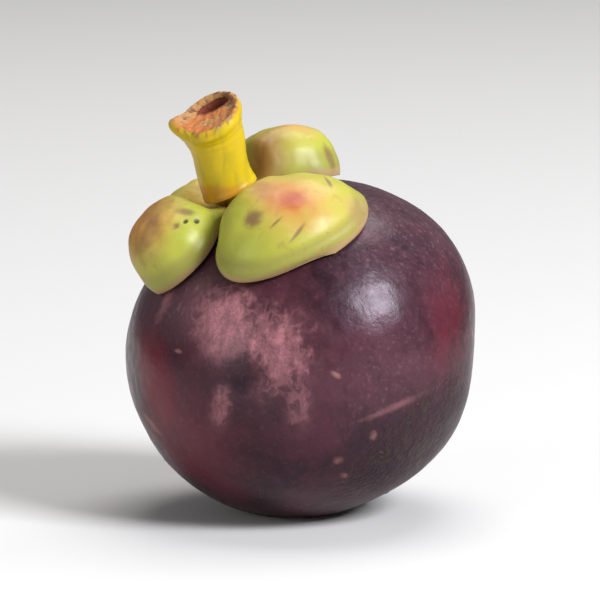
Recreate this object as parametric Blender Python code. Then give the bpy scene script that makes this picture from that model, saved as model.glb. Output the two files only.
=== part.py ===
"""A whole mangosteen as picked, lying where it has settled: leaned over onto a small flat spot of its own skin.

It has seven pieces: the rind, the four sepals of the calyx, the stem, and the stigma rosette at the blossom end.
Each is modelled round the fruit's own axis, with the fruit's centre at the origin and the stem up. One empty then
leans the fruit over and stands it on z = 0, with the middle of its flat spot at the world's origin.
Lengths are in metres and angles in radians.
"""

import math
from collections import namedtuple

import bmesh
import bpy
from mathutils import Matrix, Vector

# The fruit's body
RADIUS = 0.0313
TOP_HALF = 0.0272
BOTTOM_HALF = 0.0290
SHOULDER_FULLNESS = 2.1  # 2 is an ellipse, and more is squarer at the shoulder
TOP_DIMPLE_DEPTH = 0.0012
TOP_DIMPLE_WIDTH = 0.007
BOTTOM_DIMPLE_DEPTH = 0.0010
BOTTOM_DIMPLE_WIDTH = 0.006
FLAT_SPOT_DEPTH = 0.0008
FLAT_SIDE = Vector((0.88, -0.05, -0.48))  # where one side is flatter than the rest
FLAT_SIDE_DEPTH = 0.0022
FLAT_SIDE_WIDTH = math.radians(19)

# How the fruit lies
LEAN_LEFT = math.radians(24.5)
LEAN_FORWARD = math.radians(8.5)

# The sepals: each one's azimuth and half its spread round the stem, how far down the shoulder it reaches,
# how high it arches, the shape of its tip, and how far its spread, reach and arch lean to one side
Sepal = namedtuple("Sepal", "name azimuth spread reach bulge tip_shape lopsided skew tilt")
SEPALS = (
    Sepal("sepal_front_right", math.radians(-63), math.radians(48.8), math.radians(47.4), 0.0046, 2.8, 0, 0.03, 0),
    Sepal("sepal_front_left", math.radians(-150), math.radians(39), math.radians(39.5), 0.0068, 1.5, -0.18, 0, -0.35),
    Sepal("sepal_back_left", math.radians(127), math.radians(33), math.radians(43), 0.0046, 2.2, 0, 0, 0),
    Sepal("sepal_back_right", math.radians(51.3), math.radians(39.2), math.radians(44), 0.0078, 2.2, 0, 0.08, 0),
)
SEPAL_THICKNESS = 0.0019
SEPAL_RIM = 0.3  # how high the rim's edge lies in that thickness, from 0 at the underside to 1 at the outside
SEPAL_GAP = 0.0003  # between a sepal and the rind, at its rim
HUB_POLAR = math.radians(4.5)  # where the sepals start, under the stem
HUB_EDGE = math.radians(9.6), math.radians(16.5)  # where the arch starts, and where it has its full height
HUB_RISE = 0.0021  # how much thicker the sepals are under the stem
HUB_SHAPE = 9.0  # how square the sepals' inner ends are

# The stem
STEM_BOTTOM = 0.0263
STEM_RADIUS = 0.0047
STEM_FOOT = 0.0044  # the height of its foot, on top of the sepals
STEM_LENGTH = 0.0186
STEM_BEND = math.radians(10)
STEM_NUB = 0.0014  # how far the broken end sticks out at the left
STEM_NUB_WIDTH = 0.0028
STEM_NUB_RISE = 0.9  # how much it rises there, as a share of how far it sticks out
STEM_CUT_SLOPE = (0.22, 0.33)  # rise of the broken end along X and Y

# The stigma rosette
ROSETTE_LOBES = 6
ROSETTE_RADIUS = 0.0054
ROSETTE_NOTCH = 0.42  # the notches' depth, as a share of the radius
ROSETTE_THICKNESS = 0.0008
ROSETTE_GAP = 0.0003

# Mesh resolution
RIND_SEGMENTS, RIND_RINGS = 64, 32
SEPAL_SEGMENTS, SEPAL_RINGS = 28, 14
STEM_SEGMENTS = 28
ROSETTE_SEGMENTS, ROSETTE_RINGS = 48, 6

WELD = 1e-6


def smooth_step(value):
    """0 at and below 0, 1 at and above 1, and smooth between."""
    value = min(max(value, 0.0), 1.0)
    return value * value * (3 - 2 * value)


def skin(direction):
    """The point of the rind's surface that lies along a direction from the fruit's centre."""
    x, y, z = direction.normalized()
    across = math.hypot(x, y)
    reach = (across**SHOULDER_FULLNESS + abs(z) ** SHOULDER_FULLNESS) ** (-1 / SHOULDER_FULLNESS)
    half = TOP_HALF if z > 0 else BOTTOM_HALF
    point = Vector((RADIUS * x, RADIUS * y, half * z)) * reach
    spread = math.hypot(point.x, point.y)
    if z > 0:
        point.z -= TOP_DIMPLE_DEPTH * math.exp(-((spread / TOP_DIMPLE_WIDTH) ** 2))
    else:
        point.z += BOTTOM_DIMPLE_DEPTH * math.exp(-((spread / BOTTOM_DIMPLE_WIDTH) ** 2))
    flatter = math.exp(-((direction.angle(FLAT_SIDE) / FLAT_SIDE_WIDTH) ** 2))
    return point * (1 - FLAT_SIDE_DEPTH / RADIUS * flatter)


def heading(polar, azimuth):
    """The unit vector at a polar angle from the stem end and an azimuth from +X."""
    ring = math.sin(polar)
    return Vector((ring * math.cos(azimuth), ring * math.sin(azimuth), math.cos(polar)))


def above_skin(direction, height):
    """The point at that height over the rind, out along its normal from where the direction meets it."""
    step = 0.01
    first = direction.orthogonal().normalized() * step
    second = direction.cross(first)
    along_first = skin(direction + first) - skin(direction - first)
    along_second = skin(direction + second) - skin(direction - second)
    return skin(direction) + along_first.cross(along_second).normalized() * height


def sepal_point(sepal, on_ball):
    """Where a point of a unit ball goes on the sepal: the ball's upper half is the outside, its equator the rim."""
    along, across, through = on_ball
    out = min(math.hypot(along, across), 1.0)
    sideways = across / math.sqrt(max(1 - along * along, 1e-9))
    shape = HUB_SHAPE if along < 0 else sepal.tip_shape
    outline = max(1 - abs(along) ** shape, 0.0) ** (1 / shape)
    reached = (along + 1) / 2
    polar = HUB_POLAR + (sepal.reach - HUB_POLAR) * reached * (1 + sepal.skew * sideways)
    azimuth = sepal.azimuth + sepal.spread * outline * sideways * (1 + sepal.lopsided * sideways)
    arch = smooth_step((polar - HUB_EDGE[0]) / (HUB_EDGE[1] - HUB_EDGE[0]))
    lift = sepal.bulge * arch * (1 - out**3) ** 0.7 * (1 + sepal.tilt * across)
    side = 1 - SEPAL_RIM if through > 0 else SEPAL_RIM
    level = SEPAL_RIM + side * math.copysign(abs(through) ** 0.6, through)
    thickness = SEPAL_THICKNESS + HUB_RISE * (1 - arch)
    return above_skin(heading(polar, azimuth), SEPAL_GAP + lift + thickness * level)


def ball(segments, rings):
    """A unit ball as a bmesh, with its poles on Z and a ring of points on its equator."""
    mesh = bmesh.new()
    bmesh.ops.create_uvsphere(mesh, u_segments=segments, v_segments=rings, radius=1)
    return mesh


def rind(up):
    """The whole fruit's body, cut flat where it rests, and the middle of that flat spot."""
    mesh = ball(RIND_SEGMENTS, RIND_RINGS)
    for vertex in mesh.verts:
        vertex.co = skin(vertex.co)
    floor = min(vertex.co.dot(up) for vertex in mesh.verts) + FLAT_SPOT_DEPTH
    cut = bmesh.ops.bisect_plane(
        mesh,
        geom=mesh.verts[:] + mesh.edges[:] + mesh.faces[:],
        dist=WELD,
        plane_co=up * floor,
        plane_no=up,
        clear_inner=True,
    )
    rim = [part for part in cut["geom_cut"] if isinstance(part, bmesh.types.BMEdge)]
    flat_spot = bmesh.ops.contextual_create(mesh, geom=rim)["faces"][0]
    return mesh, flat_spot.calc_center_median_weighted()


def sepal_mesh(sepal):
    """One thick, cupped sepal that arches over the shoulder and comes down on the rind all round its rim."""
    mesh = ball(SEPAL_SEGMENTS, SEPAL_RINGS)
    for vertex in mesh.verts:
        vertex.co = sepal_point(sepal, vertex.co)
    return mesh


def stem():
    """A stout bent stem on a short peg, with a slanting hollow end where it broke off, and one nub beside it."""
    profile = (  # out from the axis and up it, in millimetres
        (0.00, 0.00),
        (1.40, 0.00),
        (1.60, 0.20),
        (1.60, 4.00),
        (1.90, 4.30),
        (4.60, 4.35),
        (4.95, 4.80),
        (4.75, 6.20),
        (4.65, 9.50),
        (4.75, 13.2),
        (5.00, 15.2),
        (5.40, 16.5),
        (5.60, 17.4),
        (5.30, 18.3),
        (4.70, 18.6),
        (4.00, 18.0),
        (3.00, 16.8),
        (0.00, 16.5),
    )
    mesh = bmesh.new()
    outline = [mesh.verts.new((out / 1000, 0, up / 1000)) for out, up in profile]
    edges = [mesh.edges.new(pair) for pair in zip(outline, outline[1:])]
    bmesh.ops.spin(
        mesh,
        geom=outline + edges,
        axis=(0, 0, 1),
        cent=(0, 0, 0),
        angle=2 * math.pi,
        steps=STEM_SEGMENTS,
        use_merge=True,
    )
    bmesh.ops.remove_doubles(mesh, verts=mesh.verts, dist=WELD)
    for vertex in mesh.verts:
        x, y, z = vertex.co
        top = smooth_step((z / STEM_LENGTH - 0.6) / 0.4)
        left = max(-x, 0) / STEM_RADIUS
        nub = STEM_NUB * top * left**2 * math.exp(-((y / STEM_NUB_WIDTH) ** 2))
        vertex.co.x -= nub
        vertex.co.z += top * (STEM_CUT_SLOPE[0] * x + STEM_CUT_SLOPE[1] * y) + STEM_NUB_RISE * nub
    for vertex in mesh.verts:
        bent = max(vertex.co.z - STEM_FOOT, 0)
        turn = STEM_BEND * smooth_step(bent / (0.5 * STEM_LENGTH))
        vertex.co.z -= vertex.co.x * math.sin(turn)
        vertex.co.x = vertex.co.x * math.cos(turn) + bent * math.sin(turn)
    bmesh.ops.translate(mesh, verts=mesh.verts, vec=(0, 0, STEM_BOTTOM))
    bmesh.ops.recalc_face_normals(mesh, faces=mesh.faces)
    return mesh


def rosette():
    """The thin woody star that the flower's stigma leaves in the dimple at the blossom end."""
    mesh = ball(ROSETTE_SEGMENTS, ROSETTE_RINGS)
    for vertex in mesh.verts:
        x, y, z = vertex.co
        azimuth = math.atan2(y, x)
        lobe = abs(math.cos(azimuth * ROSETTE_LOBES / 2)) ** 0.6
        out = ROSETTE_RADIUS * math.hypot(x, y) * (1 - ROSETTE_NOTCH * (1 - lobe))
        height = ROSETTE_GAP + ROSETTE_THICKNESS / 2 * (1 - math.copysign(abs(z) ** 0.5, z))
        vertex.co = above_skin(heading(math.pi - out / BOTTOM_HALF, azimuth), height)
    return mesh


def material(name, colour, roughness):
    """A plain Principled material."""
    made = bpy.data.materials.new(name)
    made.use_nodes = True
    shader = made.node_tree.nodes["Principled BSDF"]
    shader.inputs["Base Color"].default_value = (*colour, 1)
    shader.inputs["Roughness"].default_value = roughness
    shader.inputs["Metallic"].default_value = 0
    return made


def add(name, mesh, finish, axis):
    """Puts a finished bmesh in the scene as the named object, on the fruit's leaning axis."""
    data = bpy.data.meshes.new(name)
    mesh.to_mesh(data)
    mesh.free()
    data.shade_smooth()
    data.set_sharp_from_angle(angle=math.radians(40))
    data.materials.append(finish)
    made = bpy.data.objects.new(name, data)
    bpy.context.scene.collection.objects.link(made)
    made.parent = axis
    return made


def main():
    for old in list(bpy.data.objects):
        bpy.data.objects.remove(old)
    skin_finish = material("rind_skin", (0.085, 0.030, 0.045), 0.35)
    sepal_finish = material("sepal_green", (0.420, 0.400, 0.080), 0.50)
    stem_finish = material("stem_yellow", (0.550, 0.400, 0.020), 0.45)
    woody_finish = material("stigma_brown", (0.110, 0.060, 0.035), 0.75)

    leaning = Matrix.Rotation(-LEAN_LEFT, 4, "Y") @ Matrix.Rotation(LEAN_FORWARD, 4, "X")
    up = leaning.inverted().to_3x3() @ Vector((0, 0, 1))
    body, flat_spot = rind(up)
    axis = bpy.data.objects.new("fruit_axis", None)
    bpy.context.scene.collection.objects.link(axis)
    axis.rotation_euler = leaning.to_euler()
    axis.location = leaning @ -flat_spot

    add("rind", body, skin_finish, axis)
    for sepal in SEPALS:
        add(sepal.name, sepal_mesh(sepal), sepal_finish, axis)
    add("stem", stem(), stem_finish, axis)
    add("stigma_rosette", rosette(), woody_finish, axis)
    bpy.context.view_layer.update()


main()
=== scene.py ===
"""Dresses the whole mangosteen and puts it in a plain studio.

It has a waxy purple rind, four puffy green sepals, a broken hollow stem and a woody stigma.
Every piece is made round the fruit's own axis, with its centre at the origin and the stem up,
and is then leaned over to where the CAD rind is. Lengths are in metres and angles in radians,
except where a comment says otherwise.
"""

import math
from collections import namedtuple

import bmesh
import bpy
from mathutils import Matrix, Vector, noise


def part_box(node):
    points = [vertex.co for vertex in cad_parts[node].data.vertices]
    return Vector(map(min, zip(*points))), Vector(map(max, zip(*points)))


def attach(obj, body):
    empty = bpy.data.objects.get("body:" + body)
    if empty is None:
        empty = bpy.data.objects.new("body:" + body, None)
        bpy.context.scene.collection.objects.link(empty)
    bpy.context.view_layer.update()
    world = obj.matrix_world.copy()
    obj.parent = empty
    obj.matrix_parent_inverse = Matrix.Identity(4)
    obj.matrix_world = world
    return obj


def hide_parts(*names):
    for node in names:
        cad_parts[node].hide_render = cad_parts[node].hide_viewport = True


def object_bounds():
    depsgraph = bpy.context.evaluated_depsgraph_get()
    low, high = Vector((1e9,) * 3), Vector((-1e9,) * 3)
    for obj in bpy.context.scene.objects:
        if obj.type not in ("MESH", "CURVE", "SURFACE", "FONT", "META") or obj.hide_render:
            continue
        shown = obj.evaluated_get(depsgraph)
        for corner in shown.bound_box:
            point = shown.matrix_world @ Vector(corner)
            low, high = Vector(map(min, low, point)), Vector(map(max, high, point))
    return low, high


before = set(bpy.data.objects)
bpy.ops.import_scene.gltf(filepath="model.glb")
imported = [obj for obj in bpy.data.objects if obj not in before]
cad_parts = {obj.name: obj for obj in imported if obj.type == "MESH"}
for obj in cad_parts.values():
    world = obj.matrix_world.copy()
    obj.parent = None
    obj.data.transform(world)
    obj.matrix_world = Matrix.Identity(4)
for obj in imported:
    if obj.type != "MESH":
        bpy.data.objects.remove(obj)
CAD_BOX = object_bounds()

bl_info = {
    "name": "Mangosteen",
    "version": (1, 0, 0),
    "blender": (4, 5, 0),
    "location": "3D View > Sidebar > Mangosteen",
    "description": "Dresses a whole mangosteen and puts it in a plain studio",
    "category": "Object",
}

MM = 0.001
DEGREE = math.pi / 180
WELD = 1e-6

# Where, from the fruit's centre, one side of the rind is flatter than the rest
FLAT_SIDE = Vector((0.88, -0.05, -0.48))
FLAT_SIDE_WIDTH = 19 * DEGREE

# The dimples round the stem and at the blossom end: how deep and how wide
STEM_DIMPLE = (0.0012, 0.007)
BLOSSOM_DIMPLE = (0.0010, 0.006)

# The rind's lumps and its small dents, read from noise on a ball of this radius
LUMP_BALL = 0.032
LUMP_SIZE = 0.014
DENT_SIZE = 0.0022

# Each sepal's azimuth and half its spread round the stem, how far down the shoulder it reaches,
# how high it arches, the shape of its tip, and how far its spread, reach and arch lean to one side.
# These match the CAD sepals.
Sepal = namedtuple("Sepal", "name azimuth spread reach bulge tip_shape lopsided skew tilt")
SEPALS = (
    Sepal("sepal_front_right", -63 * DEGREE, 48.8 * DEGREE, 47.4 * DEGREE, 0.0046, 2.8, 0, 0.03, 0),
    Sepal("sepal_front_left", -150 * DEGREE, 39 * DEGREE, 39.5 * DEGREE, 0.0068, 1.5, -0.18, 0, -0.35),
    Sepal("sepal_back_left", 127 * DEGREE, 33 * DEGREE, 43 * DEGREE, 0.0046, 2.2, 0, 0, 0),
    Sepal("sepal_back_right", 51.3 * DEGREE, 39.2 * DEGREE, 44 * DEGREE, 0.0078, 2.2, 0, 0.08, 0),
)
SEPAL_THICKNESS = 0.0019
SEPAL_RIM = 0.3  # how high the rim's edge lies in that thickness
SEPAL_GAP = 0.0003  # between a sepal and the rind, at its rim
SEPAL_WAVES = 0.010  # how far its outline wanders, as a share of its size
SEPAL_LUMPS = ((6.0, 0.00040), (1.5, 0.00004))  # their size in about millimetres, and their height
SEPAL_GROOVE = (0.90, 0.05, 0.00030)  # just inside the rim: where across the disc, how wide, how deep
HUB_POLAR = 4.5 * DEGREE  # where the sepals start, under the stem
HUB_EDGE = 9.6 * DEGREE, 16.5 * DEGREE  # where the arch starts, and where it has its full height
HUB_RISE = 0.0021  # how much thicker the sepals are under the stem
HUB_SHAPE = 9.0  # how square their inner ends are

# Marks on a sepal, in its own disc, where the stem is at -1 along it and the tip at 1
Mark = namedtuple("Mark", "kind along across length width turn", defaults=(0,))
SEPAL_MARKS = {
    "sepal_front_right": (
        Mark("green", 0.45, -0.55, 0.55, 0.45),
        Mark("yellow", 0.40, 0.50, 0.65, 0.45),
        Mark("peach", 0.05, 0.06, 0.60, 0.34),
        Mark("tan", -0.15, -0.02, 0.34, 0.15),
        Mark("orange", 0.20, 0.05, 0.36, 0.20),
        Mark("red", 0.24, 0.07, 0.14, 0.12),
        Mark("bruise", 0.21, -0.38, 0.12, 0.10),
        Mark("streak", 0.69, -0.10, 0.090, 0.020, 2.2),
        Mark("streak", 0.45, -0.20, 0.070, 0.018, 2.0),
        Mark("streak", 0.30, 0.56, 0.140, 0.022, 2.4),
        # A groove along the fold, its darker line painted shade in the crease.
        Mark("crease", 0.72, 0.52, 0.26, 0.040, -0.6),
        # The tan underside of the curled end, partly painted shade under the fold.
        Mark("tan", 0.86, 0.42, 0.24, 0.12, -0.6),
    ),
    "sepal_front_left": (
        Mark("green", 0.31, 0.70, 0.75, 0.35),
        Mark("green", 0.75, 0.20, 0.30, 0.35),
        Mark("orange", 0.25, -0.42, 0.75, 0.30),
        Mark("peach", 0.20, 0.05, 0.45, 0.35),
        Mark("brown", -0.02, -0.15, 0.26, 0.24),
        Mark("brown", 0.35, 0.05, 0.30, 0.22),
        Mark("bruise", 0.10, 0.48, 0.06, 0.05),
        Mark("streak", -0.18, 0.45, 0.06, 0.16, 0.3),
        Mark("pit", -0.03, 0.57, 0.046, 0.038),
        Mark("pit", -0.13, 0.72, 0.050, 0.042),
    ),
    "sepal_back_left": (
        Mark("cream", -0.55, 0.20, 0.70, 0.95),
        Mark("yellow", 0.10, 0.10, 0.45, 0.45),
        Mark("brown", 0.35, -0.50, 0.24, 0.20),
    ),
    "sepal_back_right": (
        Mark("green", 0.10, -0.85, 0.35, 0.30),
        Mark("green", 0.45, -0.50, 0.35, 0.40),
        Mark("peach", 0.10, -0.40, 0.28, 0.25),
        Mark("yellow", -0.15, -0.75, 0.30, 0.25),
        # Partly the sepal's own red-brown, partly painted shadow of the stem beside it.
        Mark("shade", -0.50, -0.50, 0.34, 0.50),
        Mark("bruise", 0.50, -0.76, 0.10, 0.08),
    ),
}
# How deep some kinds of mark are
MARK_DEPTHS = {"pit": 0.0003, "streak": 0.00010, "crease": 0.0006, "bruise": 0.00015}

# The stem's profile in millimetres: out from its axis, and up from the foot of its peg
STEM_PROFILE = (
    (0.00, 0.00),
    (1.40, 0.00),
    (1.60, 0.20),
    (1.60, 4.00),
    (1.90, 4.30),
    (4.60, 4.35),
    (4.93, 4.80),
    (4.86, 5.40),
    (4.75, 6.20),
    (4.68, 8.00),
    (4.65, 9.80),
    (4.68, 11.5),
    (4.75, 13.2),
    (4.84, 14.2),
    (4.90, 14.8),
    (5.02, 15.3),
    (5.20, 15.9),
    (5.42, 16.5),
    (5.60, 17.3),
    (5.45, 18.0),
    (5.15, 18.4),
    (4.70, 18.5),
    (4.20, 18.2),
    (3.60, 17.9),
    (2.90, 17.8),
    (2.30, 17.6),
    (1.95, 17.2),
    (1.80, 16.2),
    (1.50, 15.4),
    (0.90, 15.0),
    (0.00, 14.9),
)
STEM_BOTTOM = 0.0263  # the end of its peg, from the fruit's centre
STEM_RADIUS = 0.0047
STEM_FOOT = 0.0044  # the height of its foot, on top of the sepals
STEM_LENGTH = 0.0186
STEM_NUB = 0.0014  # how far the broken end sticks out at the left
STEM_NUB_WIDTH = 0.0028
STEM_NUB_RISE = 0.9  # how much it rises there, as a share of how far it sticks out
STEM_CUT_SLOPE = (0.22, 0.33)  # rise of the broken end along X and Y
STEM_CROWN = 0.0179  # above this height the stem is all broken cork
SHELF_RADIUS = 0.00505  # within this radius the broken end is cork, however low
SHELF_HEIGHT = 0.0166
HOLLOW_RADIUS = 0.0027
HOLLOW_HEIGHT = 0.0140
HOLLOW_MOVE = (0.0008, 0.0029)  # how far the hollow lies to the right of the stem's axis, and behind it
HOLLOW_SQUASH = (0.20, -0.40)  # how much wider the hollow is along X, and narrower along Y
BARK_BUMPS = 0.00006
BARK_RINGS = 0.000018
CORK_CRUMBS = 0.00016

# The stigma rosette
ROSETTE_LOBES = 6
ROSETTE_RADIUS = 0.0054
ROSETTE_NOTCH = 0.42  # the notches' depth, as a share of the radius
ROSETTE_THICKNESS = 0.0008
ROSETTE_GAP = 0.0003  # between it and the rind
ROSETTE_RIDGE = 0.00025  # along each lobe
ROSETTE_PIT = 0.0003  # in the middle

# The soft lights: where each one is, its width, power in watts and colour
Light = namedtuple("Light", "place size power colour")
LIGHTS = (
    Light((0.82, -0.62, 0.80), 0.48, 26.0, (0.93, 0.95, 1.0)),
    Light((-1.00, -0.75, 0.40), 0.50, 3.5, (1.0, 0.97, 0.95)),
    Light((0.15, 0.45, 1.30), 0.90, 13.0, (1.0, 0.99, 0.97)),
)
SKY_COLOUR = (0.95, 0.97, 1.0)
SKY_STRENGTH = 0.20
FLOOR_RADIUS = 6.0


# Sizes and colours


def size_property(name, description, default, **kind):
    """A size, angle or ratio that a user would change."""
    return bpy.props.FloatProperty(name=name, description=description, default=default, **kind)


class MangosteenFruit(bpy.types.PropertyGroup):
    radius: size_property("Radius", "Half the fruit's width round its middle", 0.0313, unit="LENGTH")
    top_half: size_property("Top", "Height from the fruit's middle to its stem end", 0.0272, unit="LENGTH")
    bottom_half: size_property("Bottom", "Depth from its middle to its blossom end", 0.0290, unit="LENGTH")
    fullness: size_property("Fullness", "2 is an ellipse, and more is squarer at the shoulder", 2.1)
    lean_left: size_property("Lean left", "How far the stem leans to -X", 24.5 * DEGREE, subtype="ANGLE")
    lean_forward: size_property("Lean forward", "How far it leans to -Y", 8.5 * DEGREE, subtype="ANGLE")
    flat_side: size_property("Flat side", "How far the flatter side is pressed in", 0.0022, unit="LENGTH")
    lumps: size_property("Lumps", "Height of the rind's low lumps", 0.0003, unit="LENGTH")
    stem_bend: size_property("Stem bend", "How far the stem bends upright", 10 * DEGREE, subtype="ANGLE")


def colour_property(name, description, default):
    """A colour that a user would change, in linear red, green and blue."""
    return bpy.props.FloatVectorProperty(
        name=name, description=description, default=default, subtype="COLOR", min=0, max=1
    )


class MangosteenColours(bpy.types.PropertyGroup):
    rind: colour_property("Rind", "The ripe rind", (0.060, 0.014, 0.024))
    rind_dark: colour_property("Dark rind", "The darkest parts of the rind", (0.016, 0.004, 0.008))
    rind_red: colour_property("Red rind", "Where the red shows through the purple", (0.120, 0.007, 0.015))
    rind_brown: colour_property("Brown rind", "Where the rind is rough", (0.030, 0.018, 0.010))
    # Both the real dull film and the painted reflection and highlight on the rind.
    bloom_and_sheen: colour_property("Bloom", "The dull film on the shoulder", (0.165, 0.085, 0.105))
    scuff: colour_property("Scuff", "Rubbed and scratched skin", (0.420, 0.170, 0.190))
    nick: colour_property("Nick", "Small dry cuts in the skin", (0.330, 0.150, 0.130))
    sepal: colour_property("Sepal", "The sepals' green", (0.350, 0.365, 0.042))
    sepal_yellow: colour_property("Yellow", "The sepals' paler parts", (0.400, 0.370, 0.048))
    olive: colour_property("Olive", "Just inside the sepals' rims", (0.190, 0.160, 0.045))
    sepal_cream: colour_property("Cream", "The palest sepal", (0.850, 0.600, 0.150))
    peach: colour_property("Peach", "The warm flush on the sepals", (0.560, 0.270, 0.080))
    sepal_orange: colour_property("Orange", "Round the red on the sepals", (0.440, 0.145, 0.022))
    blush: colour_property("Blush", "The red on the sepals", (0.360, 0.060, 0.015))
    sepal_brown: colour_property("Brown", "Bruises and blemishes", (0.165, 0.068, 0.045))
    pit: colour_property("Pits", "The small holes in the sepals", (0.030, 0.014, 0.007))
    # Partly the sepals' own red-brown, partly painted shadow of the stem on them.
    sepal_shade: colour_property("Red-brown", "The sepals beside the stem", (0.220, 0.080, 0.030))
    rim: colour_property("Rim", "The sepals' dry rims", (0.380, 0.230, 0.110))
    stem: colour_property("Stem", "The stem's bark", (0.540, 0.380, 0.004))
    stem_green: colour_property("Green stem", "The darker parts of the bark", (0.400, 0.300, 0.010))
    cork: colour_property("Cork", "The stem's broken end", (0.400, 0.200, 0.070))
    cork_brown: colour_property("Brown cork", "Crumbs on the broken end", (0.400, 0.220, 0.080))
    cork_orange: colour_property("Orange cork", "The fresh face of the broken end", (0.450, 0.125, 0.025))
    hollow: colour_property("Hollow", "Inside the stem", (0.140, 0.026, 0.011))
    stigma: colour_property("Stigma", "The woody rosette", (0.090, 0.050, 0.030))


class MangosteenStudio(bpy.types.PropertyGroup):
    elevation: size_property("Elevation", "Of the camera over the horizon", 9 * DEGREE, subtype="ANGLE")
    distance: size_property("Distance", "From the camera to the fruit", 0.9, unit="LENGTH")
    field: size_property("Field", "How much of the scene the picture shows", 0.104, unit="LENGTH")
    floor: colour_property("Floor", "The floor", (0.62, 0.61, 0.60))


# Shape


def smooth_step(value):
    """0 at and below 0, 1 at and above 1, and smooth between."""
    value = min(max(value, 0.0), 1.0)
    return value * value * (3 - 2 * value)


def heading(polar, azimuth):
    """The unit vector at a polar angle from the stem end and an azimuth from +X."""
    ring = math.sin(polar)
    return Vector((ring * math.cos(azimuth), ring * math.sin(azimuth), math.cos(polar)))


def skin(fruit, direction):
    """The point of the rind's surface that lies along a direction from the fruit's centre."""
    x, y, z = direction.normalized()
    full = fruit.fullness
    reach = (math.hypot(x, y) ** full + abs(z) ** full) ** (-1 / full)
    half = fruit.top_half if z > 0 else fruit.bottom_half
    point = Vector((fruit.radius * x, fruit.radius * y, half * z)) * reach
    depth, width = STEM_DIMPLE if z > 0 else BLOSSOM_DIMPLE
    dimple = depth * math.exp(-((math.hypot(point.x, point.y) / width) ** 2))
    point.z -= math.copysign(dimple, z)
    flatter = math.exp(-((direction.angle(FLAT_SIDE) / FLAT_SIDE_WIDTH) ** 2))
    return point * (1 - fruit.flat_side / fruit.radius * flatter)


def above_skin(fruit, direction, height):
    """The point at that height over the rind, out along its normal from where the direction meets it."""
    step = 0.01
    first = direction.orthogonal().normalized() * step
    second = direction.cross(first)
    along_first = skin(fruit, direction + first) - skin(fruit, direction - first)
    along_second = skin(fruit, direction + second) - skin(fruit, direction - second)
    return skin(fruit, direction) + along_first.cross(along_second).normalized() * height


def fruit_matrix(fruit):
    """Leans the fruit over and stands it exactly where the CAD rind is."""
    lean = Matrix.Rotation(-fruit.lean_left, 4, "Y") @ Matrix.Rotation(fruit.lean_forward, 4, "X")
    turns = range(0, 360, 3)
    points = [
        lean @ skin(fruit, heading(math.radians(polar), math.radians(azimuth)))
        for polar in range(3, 180, 3)
        for azimuth in turns
    ]
    low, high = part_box("rind")
    x = (low.x + high.x - max(p.x for p in points) - min(p.x for p in points)) / 2
    y = (low.y + high.y - max(p.y for p in points) - min(p.y for p in points)) / 2
    z = high.z - max(p.z for p in points)
    return Matrix.Translation((x, y, z)) @ lean


def lumps(place, size, octaves=2):
    """Smooth noise from about -1 to 1 with lumps of that size."""
    return noise.fractal(place / size, 1.0, 2.0, octaves)


def ball(segments, rings):
    """A unit ball as a bmesh, with its poles on Z and a ring of points on its equator."""
    mesh = bmesh.new()
    bmesh.ops.create_uvsphere(mesh, u_segments=segments, v_segments=rings, radius=1)
    return mesh


def rind_mesh(fruit, matrix):
    """The rind with its low lumps and small dents, cut flat where it rests."""
    mesh = bmesh.new()
    bmesh.ops.create_icosphere(mesh, subdivisions=7, radius=1)
    for vertex in mesh.verts:
        direction = vertex.co.normalized()
        low = lumps(direction * LUMP_BALL, LUMP_SIZE)
        fine = lumps(direction * LUMP_BALL, DENT_SIZE)
        vertex.co = above_skin(fruit, direction, fruit.lumps * (0.6 * low + 0.12 * fine))
    bmesh.ops.transform(mesh, matrix=matrix, verts=mesh.verts)
    cut = bmesh.ops.bisect_plane(
        mesh,
        geom=mesh.verts[:] + mesh.edges[:] + mesh.faces[:],
        dist=WELD,
        plane_co=(0, 0, 0),
        plane_no=(0, 0, 1),
        clear_inner=True,
    )
    rim = [part for part in cut["geom_cut"] if isinstance(part, bmesh.types.BMEdge)]
    bmesh.ops.contextual_create(mesh, geom=rim)
    bmesh.ops.recalc_face_normals(mesh, faces=mesh.faces)
    return mesh


def mark_nearness(mark, along, across):
    """1 at the middle of a mark, falling smoothly to 0 outside it."""
    aside, ahead = across - mark.across, along - mark.along
    cosine, sine = math.cos(mark.turn), math.sin(mark.turn)
    lengthways = (ahead * cosine + aside * sine) / mark.length
    sideways = (aside * cosine - ahead * sine) / mark.width
    return math.exp(-(lengthways**2 + sideways**2))


def sepal_relief(sepal, along, across, out):
    """The small relief on a sepal's outside: low lumps, a thin turned-out rim, pits and creases."""
    place = Vector((along * 14, across * 14, sepal.azimuth * 10))  # about millimetres
    relief = sum(height * lumps(place, size) for size, height in SEPAL_LUMPS)
    groove, width, depth = SEPAL_GROOVE
    relief -= depth * math.exp(-(((out - groove) / width) ** 2)) * smooth_step((along + 0.5) / 0.6)
    for mark in SEPAL_MARKS[sepal.name]:
        if mark.kind in MARK_DEPTHS:
            relief -= MARK_DEPTHS[mark.kind] * mark_nearness(mark, along, across)
    return relief


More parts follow.
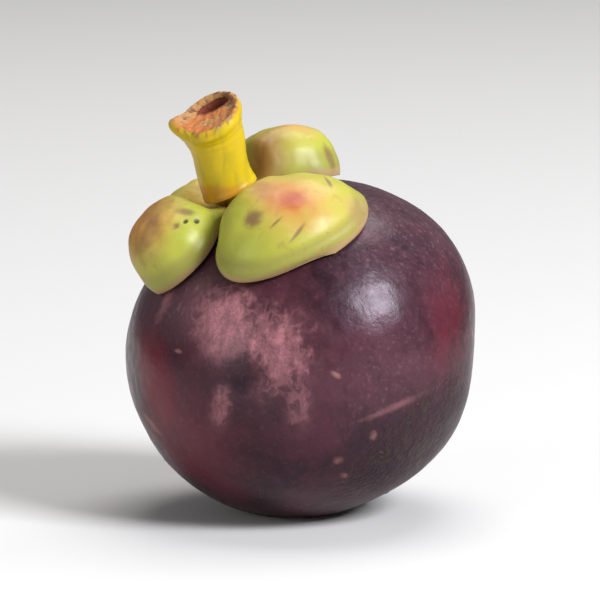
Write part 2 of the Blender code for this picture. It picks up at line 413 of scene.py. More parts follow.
def sepal_point(fruit, sepal, on_ball):
    """Where a point of a unit ball goes: its upper half is the sepal's outside, and its equator the rim."""
    along, across, through = on_ball
    out = min(math.hypot(along, across), 1.0)
    sideways = across / math.sqrt(max(1 - along * along, 1e-9))
    shape = HUB_SHAPE if along < 0 else sepal.tip_shape
    outline = max(1 - abs(along) ** shape, 0.0) ** (1 / shape)
    wavy = 1 + SEPAL_WAVES * noise.noise(Vector((along * 2.2, across * 2.2, sepal.azimuth * 7)))
    reached = (along + 1) / 2
    polar = HUB_POLAR + (sepal.reach - HUB_POLAR) * reached * (1 + sepal.skew * sideways) * wavy
    azimuth = sepal.azimuth + sepal.spread * outline * sideways * (1 + sepal.lopsided * sideways) * wavy
    arch = smooth_step((polar - HUB_EDGE[0]) / (HUB_EDGE[1] - HUB_EDGE[0]))
    lift = sepal.bulge * arch * (1 - out**3) ** 0.7 * (1 + sepal.tilt * across)
    side = 1 - SEPAL_RIM if through > 0 else SEPAL_RIM
    level = SEPAL_RIM + side * math.copysign(abs(through) ** 0.6, through)
    thickness = SEPAL_THICKNESS + HUB_RISE * (1 - arch)
    relief = sepal_relief(sepal, along, across, out) * smooth_step(through * 4) * arch
    return above_skin(fruit, heading(polar, azimuth), SEPAL_GAP + lift + thickness * level + relief)


def sepal_mesh(fruit, matrix, sepal):
    """One sepal, with its own disc laid out as a UV map."""
    mesh = ball(200, 96)
    flat = mesh.loops.layers.uv.new("disc")
    for face in mesh.faces:
        for corner in face.loops:
            place = corner.vert.co
            corner[flat].uv = (place.x, place.y)
    for vertex in mesh.verts:
        vertex.co = sepal_point(fruit, sepal, vertex.co)
    bmesh.ops.transform(mesh, matrix=matrix, verts=mesh.verts)
    return mesh


def smooth_profile(points, steps):
    """More points along a profile, on a smooth line through the given ones."""
    finer = []
    last = len(points) - 1
    for index in range(last):
        before, start, end, after = (
            Vector(points[min(max(at, 0), last)]) for at in (index - 1, index, index + 1, index + 2)
        )
        for step in range(steps):
            t = step / steps
            bend = (start * 2 + (end - before) * t + (before * 2 - start * 5 + end * 4 - after) * t * t) / 2
            bend += (start * 3 - before - end * 3 + after) * t**3 / 2
            finer.append(Vector((max(bend.x, 0), bend.y)))
    return finer + [Vector(points[-1])]


def turned_stem():
    """The stem's profile turned round its axis, upright and still smooth."""
    mesh = bmesh.new()
    outline = [mesh.verts.new((out * MM, 0, up * MM)) for out, up in smooth_profile(STEM_PROFILE, 4)]
    edges = [mesh.edges.new(pair) for pair in zip(outline, outline[1:])]
    bmesh.ops.spin(
        mesh,
        geom=outline + edges,
        axis=(0, 0, 1),
        cent=(0, 0, 0),
        angle=2 * math.pi,
        steps=144,
        use_merge=True,
    )
    bmesh.ops.remove_doubles(mesh, verts=mesh.verts, dist=WELD)
    bmesh.ops.recalc_face_normals(mesh, faces=mesh.faces)
    return mesh


def stem_mesh(fruit, matrix):
    """The bent stem, its faintly ringed bark, the corky lip of its broken end and the hollow behind it.

    Three values on its points tell the finish where it is broken, where it is hollow and which side
    is the front.
    """
    mesh = turned_stem()
    broken, hollow, front = (mesh.verts.layers.float.new(name) for name in ("broken", "hollow", "front"))
    for vertex in mesh.verts:
        x, y, z = vertex.co
        out = math.hypot(x, y)
        crown = smooth_step((z - STEM_CROWN) / (0.8 * MM) + 0.9 * lumps(vertex.co, 1.2 * MM))
        shelf = smooth_step((SHELF_RADIUS - out) / (0.35 * MM))
        shelf *= smooth_step((z - SHELF_HEIGHT) / (0.5 * MM))
        inside = smooth_step((HOLLOW_RADIUS - out) / (0.4 * MM))
        inside *= smooth_step((z - HOLLOW_HEIGHT) / (0.5 * MM))
        cork = max(crown, shelf)
        vertex[broken] = max(cork, inside)
        vertex[hollow] = inside
        vertex[front] = -y / STEM_RADIUS

        inward = min(max((4.5 * MM - out) / (2.2 * MM), 0), 1) * smooth_step((z - 13 * MM) / (2 * MM))
        x += (HOLLOW_MOVE[0] + HOLLOW_SQUASH[0] * x) * inward
        y += (HOLLOW_MOVE[1] + HOLLOW_SQUASH[1] * y) * inward
        rings = math.sin(z / MM * 4.2 + 1.5 * lumps(vertex.co, 5 * MM))
        bark = BARK_BUMPS * lumps(Vector((x, y, z * 0.4)), 2.2 * MM) + BARK_RINGS * rings
        crumbs = CORK_CRUMBS * lumps(vertex.co, 0.9 * MM, 3)
        vertex.co.xy = x, y
        if z > STEM_FOOT + 0.6 * MM:
            away = Vector((x, y, 0)).normalized() if out > WELD else Vector((0, 0, 0))
            vertex.co += away * (bark * (1 - crown) + 0.5 * crumbs * crown)
            vertex.co.z += crumbs * cork

        top = smooth_step((z / STEM_LENGTH - 0.6) / 0.4)
        left = max(-x, 0) / STEM_RADIUS
        nub = STEM_NUB * top * left**2 * math.exp(-((y / STEM_NUB_WIDTH) ** 2))
        vertex.co.x -= nub
        vertex.co.z += top * (STEM_CUT_SLOPE[0] * x + STEM_CUT_SLOPE[1] * y) + STEM_NUB_RISE * nub
    for vertex in mesh.verts:
        bent = max(vertex.co.z - STEM_FOOT, 0)
        turn = fruit.stem_bend * smooth_step(bent / (0.5 * STEM_LENGTH))
        vertex.co.z -= vertex.co.x * math.sin(turn)
        vertex.co.x = vertex.co.x * math.cos(turn) + bent * math.sin(turn)
    bmesh.ops.translate(mesh, verts=mesh.verts, vec=(0, 0, STEM_BOTTOM))
    bmesh.ops.transform(mesh, matrix=matrix, verts=mesh.verts)
    return mesh


def rosette_mesh(fruit, matrix):
    """The thin woody star in the dimple at the blossom end, its lobes ridged and a little uneven."""
    mesh = ball(144, 32)
    for vertex in mesh.verts:
        x, y, z = vertex.co
        azimuth = math.atan2(y, x)
        lobe = abs(math.cos(azimuth * ROSETTE_LOBES / 2)) ** 0.6
        disc = math.hypot(x, y)
        uneven = 1 + 0.05 * noise.noise(Vector((x * 2, y * 2, 3)))
        out = ROSETTE_RADIUS * disc * (1 - ROSETTE_NOTCH * (1 - lobe)) * uneven
        height = ROSETTE_GAP + ROSETTE_THICKNESS / 2 * (1 - math.copysign(abs(z) ** 0.5, z))
        if z < 0:
            relief = ROSETTE_RIDGE * lobe * smooth_step(disc * 2)
            relief -= ROSETTE_PIT * math.exp(-((disc / 0.2) ** 2))
            relief += 0.00008 * noise.fractal(Vector((x, y, 0)) * 9, 1.0, 2.0, 2)
            height += relief * min(-z * 3, 1)
        vertex.co = above_skin(fruit, heading(math.pi - out / fruit.bottom_half, azimuth), height)
    bmesh.ops.transform(mesh, matrix=matrix, verts=mesh.verts)
    return mesh


def add_piece(name, mesh, finish, node):
    """Puts a finished bmesh in the scene as a piece that stands for a CAD node."""
    data = bpy.data.meshes.new(name)
    mesh.to_mesh(data)
    mesh.free()
    data.shade_smooth()
    data.set_sharp_from_angle(angle=math.radians(60))
    data.materials.append(finish)
    piece = bpy.data.objects.new(name, data)
    bpy.context.scene.collection.objects.link(piece)
    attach(piece, "root")
    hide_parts(node)
    return piece


# Finishes


class Finish:
    """A material while it is being made. Each call adds a node and gives back the socket to use next."""

    def __init__(self, name):
        self.material = bpy.data.materials.new(name)
        self.material.use_nodes = True
        self.nodes = self.material.node_tree.nodes
        self.links = self.material.node_tree.links
        self.shader = self.nodes["Principled BSDF"]
        self.place = self.add("ShaderNodeTexCoord").outputs["Object"]

    def add(self, kind, inputs=(), **settings):
        """Adds a node with its settings, and fills its inputs, each a socket, a number or a colour."""
        node = self.nodes.new(kind)
        for key, value in settings.items():
            setattr(node, key, value)
        for key, value in dict(inputs).items():
            self.fill(node.inputs[key], value)
        return node

    def fill(self, socket, value):
        """Links a socket to another, or sets its own value."""
        if isinstance(value, bpy.types.NodeSocket):
            self.links.new(value, socket)
        elif socket.type == "RGBA":
            socket.default_value = (*value[:3], 1)
        else:
            socket.default_value = value

    def noise(self, size, detail=2.0, distortion=0.0, vector=None, rough=0.5):
        """Noise from 0 to 1 with lumps of about that size in metres."""
        inputs = {
            "Vector": vector or self.place,
            "Scale": 1 / size,
            "Detail": detail,
            "Roughness": rough,
            "Distortion": distortion,
        }
        return self.add("ShaderNodeTexNoise", inputs).outputs["Fac"]

    def maths(self, operation, first, second=0.0, third=0.0):
        """A Math node."""
        return self.add("ShaderNodeMath", {0: first, 1: second, 2: third}, operation=operation).outputs[0]

    def largest(self, *values):
        """The largest of several values."""
        result = values[0]
        for value in values[1:]:
            result = self.maths("MAXIMUM", result, value)
        return result

    def times(self, *factors):
        """The product of several values."""
        result = factors[0]
        for factor in factors[1:]:
            result = self.maths("MULTIPLY", result, factor)
        return result

    def step(self, value, low, high):
        """0 where the value is at low, 1 where it is at high, and smooth between."""
        inputs = {"Value": value, "From Min": low, "From Max": high}
        return self.add("ShaderNodeMapRange", inputs, interpolation_type="SMOOTHSTEP").outputs["Result"]

    def scaled(self, size, turn=(0, 0, 0), centre=(0, 0, 0), vector=None):
        """Coordinates round a place, turned back by some angles and divided by a size along each axis."""
        moved = self.add("ShaderNodeVectorMath", {0: vector or self.place, 1: centre}, operation="SUBTRACT")
        inputs = {"Vector": moved.outputs["Vector"], "Rotation": turn}
        turned = self.add("ShaderNodeVectorRotate", inputs, rotation_type="EULER_XYZ", invert=True)
        divided = self.add("ShaderNodeVectorMath", {0: turned.outputs["Vector"], 1: size}, operation="DIVIDE")
        return divided.outputs["Vector"]

    def length(self, vector):
        """The length of a vector."""
        return self.add("ShaderNodeVectorMath", {0: vector}, operation="LENGTH").outputs["Value"]

    def blot(self, gap, soft, wander=None, ragged=0.0):
        """1 where the gap is under 1 and 0 where it is over, with a soft edge that wanders."""
        if wander:
            gap = self.maths("MULTIPLY_ADD", self.maths("SUBTRACT", wander, 0.5), ragged, gap)
        return self.step(gap, 1 + soft / 2, 1 - soft / 2)

    def patch(self, centre, size, turn=(0, 0, 0), soft=0.5, ragged=0.0, grain=0.002):
        """A blot round a place on the fruit: 1 inside, 0 outside, with a soft and ragged edge."""
        gap = self.length(self.scaled(size, turn, centre))
        return self.blot(gap, soft, self.noise(grain, 3.0), ragged)

    def mix(self, amount, first, second):
        """A mix of two colours."""
        node = self.add("ShaderNodeMix", data_type="RGBA")
        self.fill(node.inputs[0], amount)
        self.fill(node.inputs[6], first)
        self.fill(node.inputs[7], second)
        return node.outputs[2]

    def bump(self, height, distance, strength=1.0, normal=None):
        """A bump of that distance in metres."""
        node = self.add("ShaderNodeBump", {"Height": height, "Distance": distance, "Strength": strength})
        if normal:
            self.links.new(normal, node.inputs["Normal"])
        return node.outputs["Normal"]

    def set(self, **values):
        """Fills the shader's own sockets, their names written with underscores."""
        for key, value in values.items():
            self.fill(self.shader.inputs[key.replace("_", " ")], value)


FLAT = (0, 0, 0)  # the turn of a patch that isn't turned


def red_and_shaded_rind(rind, colour, colours, patchy):
    """The places where the red shows through: down the left, and a broken patch at the right. Then painted
    shade darkens the rind's right edge.
    """
    lean = (0, -15 * DEGREE, 0)
    left = rind.patch((-0.0225, -0.0161, 0.0251), (0.0032, 0.010, 0.0090), lean, 1.1, 0.9, 0.004)
    low_left = rind.patch((-0.0180, -0.0190, 0.0150), (0.0110, 0.012, 0.0090), FLAT, 1.5, 0.7, 0.005)
    right = rind.patch((0.0285, -0.0149, 0.0345), (0.0044, 0.010, 0.0085), FLAT, 1.8, 1.4, 0.003)
    spot = rind.patch((0.0300, -0.0095, 0.0372), (0.0020, 0.005, 0.0006), FLAT, 1.6, 1.2, 0.001)
    right = rind.times(right, rind.maths("MULTIPLY_ADD", patchy, 0.7, 0.3))
    red = rind.largest(left, rind.times(low_left, 0.5), rind.times(right, 0.75), rind.times(spot, 0.7))
    colour = rind.mix(red, colour, colours.rind_red)
    # Painted shade: the rind's right edge is darkened towards the dark rind colour.
    shade = rind.patch((0.0345, -0.0060, 0.0300), (0.0065, 0.020, 0.0240), FLAT, 1.5, 0.8, 0.003)
    return rind.mix(rind.times(shade, 0.70), colour, colours.rind_dark)


def film_and_sheen_rind(rind, colour, colours, patchy):
    """The dull, speckled film on the shoulder, and in the same colour a painted reflection on the cheek and a
    painted highlight at the upper left.
    """
    shoulder = rind.patch((0.0190, -0.0100, 0.0510), (0.0170, 0.020, 0.0110), FLAT, 1.6, 0.5, 0.006)
    # Painted reflection: a paler disc on the cheek.
    cheek_reflection = rind.patch((0.0165, -0.0270, 0.0300), (0.0100, 0.010, 0.0120), FLAT, 1.6, 0.5, 0.006)
    # Painted highlight: a pale haze at the upper left.
    brow_highlight = rind.patch((-0.0190, -0.0190, 0.0400), (0.0070, 0.010, 0.0060), FLAT, 1.5, 0.5, 0.005)
    speck = rind.step(rind.noise(0.0008, 2.0), 0.52, 0.75)
    film_and_sheen = rind.largest(rind.times(shoulder, 0.70), rind.times(cheek_reflection, 0.50), rind.times(brow_highlight, 1.30))
    speckled = rind.maths("MULTIPLY_ADD", speck, 0.5, 0.25)
    film_and_sheen = rind.times(film_and_sheen, speckled, rind.maths("MULTIPLY_ADD", patchy, 0.7, 0.6))
    film_and_sheen = rind.largest(film_and_sheen, rind.times(brow_highlight, 0.45), rind.times(speck, 0.13))
    return rind.mix(film_and_sheen, colour, colours.bloom_and_sheen)


def rubbed_rind(rind, colour, colours):
    """The rubbed patch at the front: dense at the upper left, branching at the right, two drips under it."""
    solid = rind.patch((-0.0108, -0.0255, 0.0370), (0.0058, 0.012, 0.0064), FLAT, 1.9, 0.9, 0.003)
    loose = rind.patch((-0.0030, -0.0289, 0.0330), (0.0070, 0.012, 0.0078), FLAT, 1.8, 1.0, 0.003)
    left_drip = rind.patch((-0.0115, -0.0256, 0.0232), (0.0019, 0.008, 0.0048), (0, 0.2, 0), 1.3, 0.7, 0.002)
    right_drip = rind.patch((0.0015, -0.0292, 0.0242), (0.0026, 0.008, 0.0050), FLAT, 1.3, 0.7, 0.002)
    gap = rind.patch((-0.0073, -0.0280, 0.0292), (0.0034, 0.012, 0.0028), FLAT, 1.3, 0.7, 0.002)
    drips = rind.largest(rind.times(left_drip, 0.70), rind.times(right_drip, 0.55))
    amount = rind.largest(solid, rind.times(loose, 0.80), drips)
    amount = rind.maths("SUBTRACT", amount, rind.times(gap, 0.34))

    strands = rind.noise(0.0019, 4.0, vector=rind.scaled((1.0, 1.0, 1.7)), rough=0.58)
    grains = rind.step(rind.noise(0.0005, 3.0, rough=0.6), 0.38, 0.60)
    rubbed = rind.step(rind.maths("ADD", rind.times(amount, 0.75), strands), 0.80, 1.32)
    rubbed = rind.times(rubbed, rind.maths("MULTIPLY_ADD", grains, 0.35, 0.60), 0.95)
    branches = rind.maths("ABSOLUTE", rind.maths("SUBTRACT", rind.noise(0.0030, 4.0, 0.3), 0.5))
    twigs = rind.times(rind.step(branches, 0.08, 0.01), rind.step(amount, 0.25, 0.70), 0.35)
    rubbed = rind.largest(rubbed, twigs)
    colour = rind.mix(rind.times(amount, 0.22), colour, colours.scuff)
    return rind.mix(rubbed, colour, colours.scuff), rubbed


def nicked_rind(rind, colour, colours):
    """The long soft scratch at the right, the smudge at the upper left, and the small dry nicks."""
    scratch = rind.patch((0.0182, -0.0245, 0.0229), (0.0052, 0.006, 0.0005), (0, -0.34, 0), 1.8, 1.8, 0.0014)
    smudge = rind.patch((-0.0210, -0.0156, 0.0392), (0.0006, 0.004, 0.0034), (0, 0.45, 0), 1.6, 1.4, 0.0012)
    scratches = rind.largest(rind.times(scratch, 0.36), rind.times(smudge, 0.48))
    colour = rind.mix(scratches, colour, colours.scuff)
    nicks = rind.largest(
        rind.patch((0.0077, -0.0292, 0.0290), (0.0008, 0.003, 0.0004), (0, 0.6, 0), 1.4, 1.2, 0.0008),
        rind.patch((-0.0189, -0.0207, 0.0315), (0.0006, 0.003, 0.0003), FLAT, 1.2, 1.0, 0.0008),
        rind.patch((-0.0236, -0.0097, 0.0172), (0.0024, 0.005, 0.0004), (0, 0.8, 0), 1.4, 1.2, 0.0010),
        rind.patch((0.0308, -0.0093, 0.0326), (0.0010, 0.0007, 0.0005), FLAT, 1.4, 1.8, 0.0008),
        rind.patch((0.0310, -0.0090, 0.0263), (0.0010, 0.0006, 0.0004), FLAT, 1.4, 1.8, 0.0008),
    )
    return rind.mix(rind.times(nicks, 0.62), colour, colours.nick), nicks


def rough_rind(rind, colour, colours):
    """The rough, dark, olive-brown area low at the right, with a few paler dots in and beside it."""
    rough = rind.patch((0.0215, -0.0189, 0.0150), (0.0150, 0.016, 0.0085), (0, -0.65, 0), 0.9, 0.9, 0.004)
    pimples = rind.step(rind.noise(0.0010, 3.0), 0.42, 0.62)
    grime = rind.step(rind.noise(0.0030, 3.0, 0.5), 0.40, 0.62)
    colour = rind.mix(rind.times(rough, 0.80), colour, colours.rind_dark)
    colour = rind.mix(rind.times(rough, grime, pimples, 0.90), colour, colours.rind_brown)
    dots = rind.largest(
        rind.patch((0.0142, -0.0250, 0.0180), (0.0005, 0.003, 0.0008), FLAT, 1.5, 1.8, 0.0008),
        rind.patch((0.0082, -0.0248, 0.0136), (0.0007, 0.003, 0.0006), FLAT, 1.5, 1.8, 0.0008),
        rind.patch((0.0093, -0.0224, 0.0105), (0.0005, 0.003, 0.0005), FLAT, 1.5, 1.8, 0.0008),
        rind.times(rough, rind.step(rind.noise(0.0016, 2.0, 0.4), 0.68, 0.76), 0.7),
    )
    return rind.mix(rind.times(dots, 0.42), colour, colours.nick), rough, rind.times(rough, pimples)


def rind_finish(colours, fruit):
    """Waxy purple skin: dark and red clouds, a dull film, a rubbed patch, nicks and a rough brown area, with
    painted shade on the right edge and a painted reflection and highlight.
    """
    rind = Finish("rind_skin")
    meridians = rind.scaled((1.0, 1.0, 3.5), (fruit.lean_forward, -fruit.lean_left, 0))
    clouds = rind.step(rind.noise(0.013, 4.0, 0.4), 0.33, 0.68)
    mottle = rind.noise(0.0016, 4.0, 0.4, vector=meridians, rough=0.6)
    patchy = rind.step(rind.noise(0.0022, 4.0, 0.6, rough=0.65), 0.36, 0.58)
    colour = rind.mix(clouds, colours.rind_dark, colours.rind)
    colour = rind.mix(rind.times(rind.step(mottle, 0.50, 0.72), 0.55), colour, colours.rind)
    colour = rind.mix(rind.times(rind.step(mottle, 0.46, 0.30), 0.50), colour, colours.rind_dark)
    colour = red_and_shaded_rind(rind, colour, colours, patchy)
    colour = film_and_sheen_rind(rind, colour, colours, patchy)
    colour, rubbed = rubbed_rind(rind, colour, colours)
    colour, nicks = nicked_rind(rind, colour, colours)
    colour, rough, pimples = rough_rind(rind, colour, colours)

    worn = rind.largest(rubbed, nicks)
    gloss = rind.maths("MULTIPLY_ADD", rind.noise(0.0020, 3.0), 0.26, 0.18)
    gloss = rind.maths("MULTIPLY_ADD", worn, 0.15, gloss)
    gloss = rind.maths("MULTIPLY_ADD", rough, 0.18, gloss)
    normal = rind.bump(rind.noise(0.0006, 3.0), 0.00005, 0.6)
    normal = rind.bump(mottle, 0.00008, 0.4, normal)
    normal = rind.bump(pimples, 0.00014, 0.8, normal)
    normal = rind.bump(worn, 0.00010, 0.5, normal)
    rind.set(Base_Color=colour, Roughness=gloss, Normal=normal)
    rind.set(Specular_IOR_Level=0.29, Specular_Tint=(1.0, 0.86, 0.98))
    return rind.material


def sepal_tints(colours):
    """For each kind of mark: its colour, how strong it is, how soft its edge is and how ragged."""
    return {
        "green": (colours.sepal, 0.80, 1.6, 0.7),
        "yellow": (colours.sepal_yellow, 0.85, 1.6, 0.7),
        "cream": (colours.sepal_cream, 0.90, 1.6, 0.7),
        "peach": (colours.peach, 0.70, 1.6, 0.7),
        "orange": (colours.sepal_orange, 0.85, 1.6, 1.1),
        "red": (colours.blush, 0.92, 1.5, 1.0),
        # Partly red-brown colour, partly painted shadow of the stem.
        "shade": (colours.sepal_shade, 0.85, 1.6, 0.5),
        "brown": (colours.sepal_brown, 0.40, 1.2, 2.6),
        "bruise": (colours.sepal_brown, 0.80, 1.2, 1.2),
        "streak": (colours.sepal_brown, 0.70, 1.2, 0.5),
        # Painted shade along the fold, over a real groove.
        "crease": (colours.sepal, 0.60, 1.2, 0.4),
        "tan": (colours.rim, 0.80, 1.4, 0.5),
        "pit": (colours.pit, 0.95, 0.9, 0.2),
    }


def sepal_finish(colours, sepal):
    """Satin green that turns yellow, with a warm blush, brown mottling, bruises, pits and a dry rim, and
    painted shade beside the stem and along a fold.
    """
    flesh = Finish(sepal.name + "_skin")
    disc = flesh.add("ShaderNodeUVMap", uv_map="disc").outputs["UV"]
    along = flesh.add("ShaderNodeSeparateXYZ", {0: disc}).outputs["X"]
    clouds = flesh.noise(0.006, 4.0, 0.5)
    colour = flesh.mix(flesh.step(clouds, 0.35, 0.68), colours.sepal, colours.sepal_yellow)
    hub = flesh.step(along, -0.55, -0.95)
    colour = flesh.mix(flesh.times(hub, 0.45), colour, colours.peach)

    tints = sepal_tints(colours)
    wander = flesh.noise(0.0024, 4.0, 0.4, rough=0.6)
    for mark in SEPAL_MARKS[sepal.name]:
        tint, amount, soft, ragged = tints[mark.kind]
        size = (mark.length, mark.width, 1)
        gap = flesh.length(flesh.scaled(size, (0, 0, mark.turn), (mark.along, mark.across, 0), disc))
        colour = flesh.mix(flesh.times(flesh.blot(gap, soft, wander, ragged), amount), colour, tint)

    mottle = flesh.step(flesh.noise(0.0022, 5.0, 0.6, rough=0.65), 0.56, 0.70)
    colour = flesh.mix(flesh.times(mottle, 0.22), colour, colours.sepal_brown)
    flecks = flesh.step(flesh.noise(0.0010, 3.0, 0.5), 0.68, 0.76)
    colour = flesh.mix(flesh.times(flecks, 0.40), colour, colours.sepal_brown)
    out = flesh.maths("MULTIPLY_ADD", flesh.noise(0.0018, 2.0), 0.02, flesh.length(disc))
    olive = flesh.times(flesh.step(out, 0.82, 0.92), flesh.step(along, -0.3, 0.3))
    colour = flesh.mix(flesh.times(olive, 0.45), colour, colours.olive)
    edge = flesh.step(out, 0.988, 0.997)
    colour = flesh.mix(flesh.times(edge, 0.75), colour, colours.rim)

    fine = flesh.bump(flesh.noise(0.0009, 2.0), 0.00004, 0.5)
    dull = flesh.maths("MULTIPLY_ADD", flesh.noise(0.004, 2.0), 0.15, 0.36)
    flesh.set(Base_Color=colour, Roughness=dull, Normal=fine, Specular_IOR_Level=0.40)
    flesh.set(Subsurface_Weight=0.12, Subsurface_Radius=(0.004, 0.003, 0.001), Subsurface_Scale=0.5)
    return flesh.material


def stem_finish(colours):
    """Smooth yellow bark, browner at the foot, and the corky broken end with its dark hollow."""
    bark = Finish("stem_skin")
    sides = [bark.add("ShaderNodeAttribute", attribute_name=name) for name in ("broken", "hollow", "front")]
    broken, hollow, front = (side.outputs["Fac"] for side in sides)
    grain = bark.noise(0.0018, 3.0, 0.3, vector=bark.scaled((1.0, 1.0, 4.0)))
    colour = bark.mix(bark.step(grain, 0.25, 0.60), colours.stem_green, colours.stem)
    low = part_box("stem")[0].z
    height = bark.add("ShaderNodeSeparateXYZ", {0: bark.place}).outputs["Z"]
    foot = bark.step(height, low + 0.0066, low + 0.0050)
    colour = bark.mix(bark.times(foot, 0.55), colour, colours.cork_orange)
    flecks = bark.step(bark.noise(0.0012, 3.0, 0.5), 0.66, 0.74)
    colour = bark.mix(bark.times(flecks, 0.20), colour, colours.sepal_brown)
    crumbs = bark.noise(0.0010, 4.0, 0.5)
    cork = bark.mix(bark.step(crumbs, 0.35, 0.55), colours.sepal_brown, colours.cork)
    cork = bark.mix(bark.step(bark.noise(0.0016, 3.0), 0.54, 0.66), cork, colours.cork_brown)
    fresh = bark.times(bark.step(front, -0.1, 0.5), bark.step(bark.noise(0.0030, 2.0), 0.40, 0.55))
    cork = bark.mix(bark.times(fresh, 0.75), cork, colours.cork_orange)
    cork = bark.mix(hollow, cork, colours.hollow)
    colour = bark.mix(broken, colour, cork)
    fine = bark.bump(grain, 0.00015, 0.4)
    crumbly = bark.bump(bark.times(broken, crumbs), 0.0004, 0.7, fine)
    dull = bark.maths("MULTIPLY_ADD", broken, 0.40, 0.38)
    bark.set(Base_Color=colour, Roughness=dull, Normal=crumbly, Specular_IOR_Level=0.28)
    return bark.material


def stigma_finish(colours):
    """Dry, dark, fibrous wood."""
    wood = Finish("stigma_wood")
    grain = wood.noise(0.0008, 4.0, 0.6)
    colour = wood.mix(wood.step(grain, 0.3, 0.7), colours.rind_dark, colours.stigma)
    wood.set(Base_Color=colour, Roughness=0.8, Normal=wood.bump(grain, 0.0002, 0.8))
    return wood.material


# Operators


class MANGOSTEEN_OT_rind(bpy.types.Operator):
    """Makes the rind, with its lumps, scuffs and flat resting spot"""

    bl_idname = "mangosteen.rind"
    bl_label = "Rind"

    def execute(self, context):
        fruit = context.scene.mangosteen_fruit
        mesh = rind_mesh(fruit, fruit_matrix(fruit))
        finish = rind_finish(context.scene.mangosteen_colours, fruit)
        add_piece("rind_skin", mesh, finish, "rind")
        return {"FINISHED"}


class MANGOSTEEN_OT_sepals(bpy.types.Operator):
    """Makes the four puffy sepals round the stem"""

    bl_idname = "mangosteen.sepals"
    bl_label = "Sepals"

    def execute(self, context):
        fruit = context.scene.mangosteen_fruit
        matrix = fruit_matrix(fruit)
        for sepal in SEPALS:
            finish = sepal_finish(context.scene.mangosteen_colours, sepal)
            mesh = sepal_mesh(fruit, matrix, sepal)
            add_piece(sepal.name + "_flesh", mesh, finish, sepal.name)
        return {"FINISHED"}


class MANGOSTEEN_OT_stem(bpy.types.Operator):
    """Makes the stem with its broken hollow end"""

    bl_idname = "mangosteen.stem"
    bl_label = "Stem"

    def execute(self, context):
        fruit = context.scene.mangosteen_fruit
        finish = stem_finish(context.scene.mangosteen_colours)
        add_piece("stem_bark", stem_mesh(fruit, fruit_matrix(fruit)), finish, "stem")
        return {"FINISHED"}


class MANGOSTEEN_OT_stigma(bpy.types.Operator):
    """Makes the woody stigma rosette at the blossom end"""

    bl_idname = "mangosteen.stigma"
    bl_label = "Stigma"

    def execute(self, context):
        fruit = context.scene.mangosteen_fruit
        finish = stigma_finish(context.scene.mangosteen_colours)
        mesh = rosette_mesh(fruit, fruit_matrix(fruit))
        add_piece("stigma_wood", mesh, finish, "stigma_rosette")
        return {"FINISHED"}


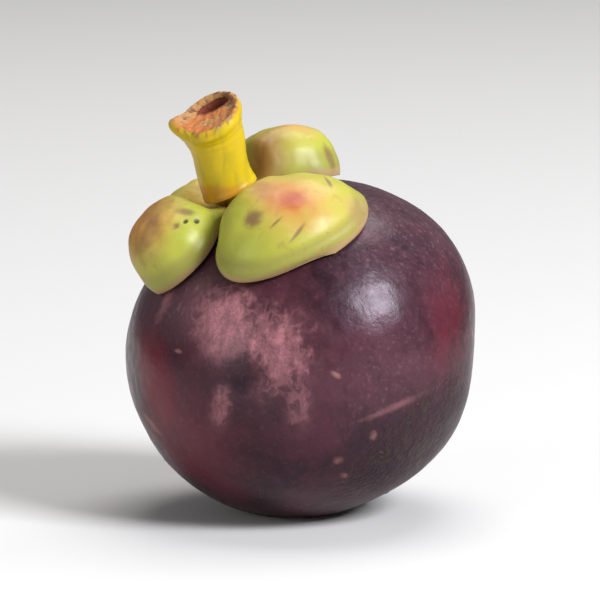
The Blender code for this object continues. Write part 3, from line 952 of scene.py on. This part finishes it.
class MANGOSTEEN_OT_stage(bpy.types.Operator):
    """Lays a pale floor, hangs the soft lights and sets the camera"""

    bl_idname = "mangosteen.stage"
    bl_label = "Stage"

    def execute(self, context):
        studio = context.scene.mangosteen_studio
        low, high = CAD_BOX
        middle = (low + high) / 2
        self.lay_floor(context, studio)
        for light in LIGHTS:
            self.hang_light(context, middle, light)
        self.set_sky(context)
        context.scene.view_settings.view_transform = "Standard"
        self.set_camera(context, studio, middle)
        return {"FINISHED"}

    def lay_floor(self, context, studio):
        """A wide pale disc whose far edge is out of sight."""
        mesh = bmesh.new()
        bmesh.ops.create_circle(mesh, cap_ends=True, segments=96, radius=FLOOR_RADIUS)
        data = bpy.data.meshes.new("floor")
        mesh.to_mesh(data)
        mesh.free()
        finish = Finish("floor_matte")
        finish.set(Base_Color=studio.floor, Roughness=0.85)
        data.materials.append(finish.material)
        floor = bpy.data.objects.new("floor", data)
        context.scene.collection.objects.link(floor)

    def hang_light(self, context, target, light):
        """A square soft light that points at the fruit."""
        lamp = bpy.data.lights.new("soft_light", "AREA")
        lamp.size = light.size
        lamp.energy = light.power
        lamp.color = light.colour
        hung = bpy.data.objects.new("soft_light", lamp)
        context.scene.collection.objects.link(hung)
        hung.location = light.place
        hung.rotation_euler = (target - Vector(light.place)).to_track_quat("-Z", "Y").to_euler()

    def set_sky(self, context):
        """A plain pale sky for the shadows."""
        world = bpy.data.worlds.new("studio")
        world.use_nodes = True
        background = world.node_tree.nodes["Background"]
        background.inputs["Color"].default_value = (*SKY_COLOUR, 1)
        background.inputs["Strength"].default_value = SKY_STRENGTH
        context.scene.world = world

    def set_camera(self, context, studio, target):
        """A long lens in front of the fruit, a little above it."""
        camera = bpy.data.objects.new("camera", bpy.data.cameras.new("camera"))
        context.scene.collection.objects.link(camera)
        tilt = studio.elevation
        back = Vector((0, -math.cos(tilt), math.sin(tilt)))
        camera.location = target + back * studio.distance
        camera.rotation_euler = (-back).to_track_quat("-Z", "Y").to_euler()
        camera.data.lens = camera.data.sensor_width * studio.distance / studio.field
        camera.data.clip_start = 0.01
        context.scene.camera = camera


class MANGOSTEEN_PT_panel(bpy.types.Panel):
    """Lists the steps that make the mangosteen"""

    bl_idname = "MANGOSTEEN_PT_panel"
    bl_label = "Mangosteen"
    bl_space_type = "VIEW_3D"
    bl_region_type = "UI"
    bl_category = "Mangosteen"

    def draw(self, context):
        column = self.layout.column()
        for step in STEPS:
            column.operator(step.bl_idname)
        for group in ("mangosteen_fruit", "mangosteen_colours", "mangosteen_studio"):
            settings = getattr(context.scene, group)
            box = self.layout.box()
            for key in settings.bl_rna.properties.keys():
                if key not in {"rna_type", "name"}:
                    box.prop(settings, key)


GROUPS = (MangosteenFruit, MangosteenColours, MangosteenStudio)
STEPS = (
    MANGOSTEEN_OT_rind,
    MANGOSTEEN_OT_sepals,
    MANGOSTEEN_OT_stem,
    MANGOSTEEN_OT_stigma,
    MANGOSTEEN_OT_stage,
)


def register():
    for group in (*GROUPS, *STEPS, MANGOSTEEN_PT_panel):
        bpy.utils.register_class(group)
    bpy.types.Scene.mangosteen_fruit = bpy.props.PointerProperty(type=MangosteenFruit)
    bpy.types.Scene.mangosteen_colours = bpy.props.PointerProperty(type=MangosteenColours)
    bpy.types.Scene.mangosteen_studio = bpy.props.PointerProperty(type=MangosteenStudio)


def unregister():
    del bpy.types.Scene.mangosteen_studio
    del bpy.types.Scene.mangosteen_colours
    del bpy.types.Scene.mangosteen_fruit
    for group in reversed((*GROUPS, *STEPS, MANGOSTEEN_PT_panel)):
        bpy.utils.unregister_class(group)


def main():
    register()
    bpy.ops.mangosteen.rind()
    bpy.ops.mangosteen.sepals()
    bpy.ops.mangosteen.stem()
    bpy.ops.mangosteen.stigma()
    bpy.ops.mangosteen.stage()


if __name__ == "__main__":
    main()
